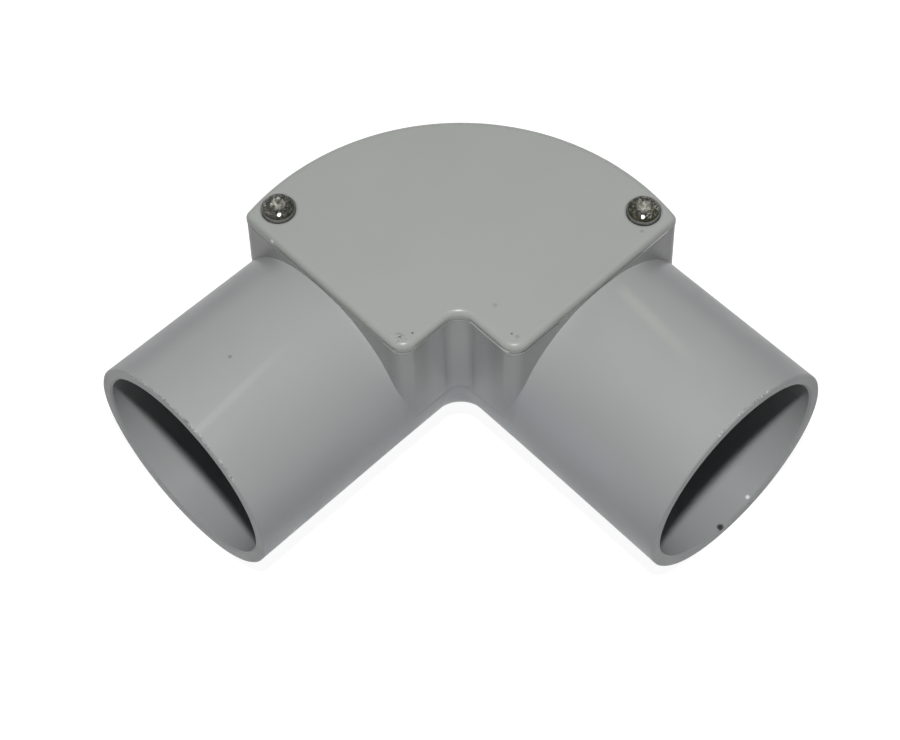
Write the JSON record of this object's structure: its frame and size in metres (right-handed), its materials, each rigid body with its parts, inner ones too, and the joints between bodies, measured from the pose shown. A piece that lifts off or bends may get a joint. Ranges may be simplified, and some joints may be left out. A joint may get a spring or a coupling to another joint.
{
  "type": "inspection elbow",
  "caption": "Right-angle inspection elbow for rigid plastic conduit: plain round sockets, a swept bend and a flat screwed cover over the box on top.",
  "frame": {"origin": "centre of socket A's mouth", "axes": "+Y runs into socket A along its axis, +X comes out of socket B along its axis, +Z points out of the cover"},
  "size_m": [0.0763, 0.0762, 0.039],
  "materials": {
    "body_plastic": "satin moulded grey",
    "cover_plastic": "satin moulded grey",
    "screw_steel": "bright plated"
  },
  "bodies": {
    "elbow": {"elbow_body": "body_plastic"},
    "cover": {"cover": "cover_plastic"},
    "screw_a": {"cover_screw_a": "screw_steel"},
    "screw_b": {"cover_screw_b": "screw_steel"}
  },
  "joints": [
    {"name": "cover_lift", "type": "slide", "parent": "elbow", "child": "cover", "axis": [0, 0, 1], "range_m": [0, 0.04]},
    {"name": "screw_a_turn", "type": "hinge", "parent": "cover", "child": "screw_a", "pos_m": [-0.0137, 0.03345, 0], "axis": [0, 0, 1], "continuous": true},
    {"name": "screw_b_turn", "type": "hinge", "parent": "cover", "child": "screw_b", "pos_m": [0.0247, 0.07185, 0], "axis": [0, 0, 1], "continuous": true}
  ]
}
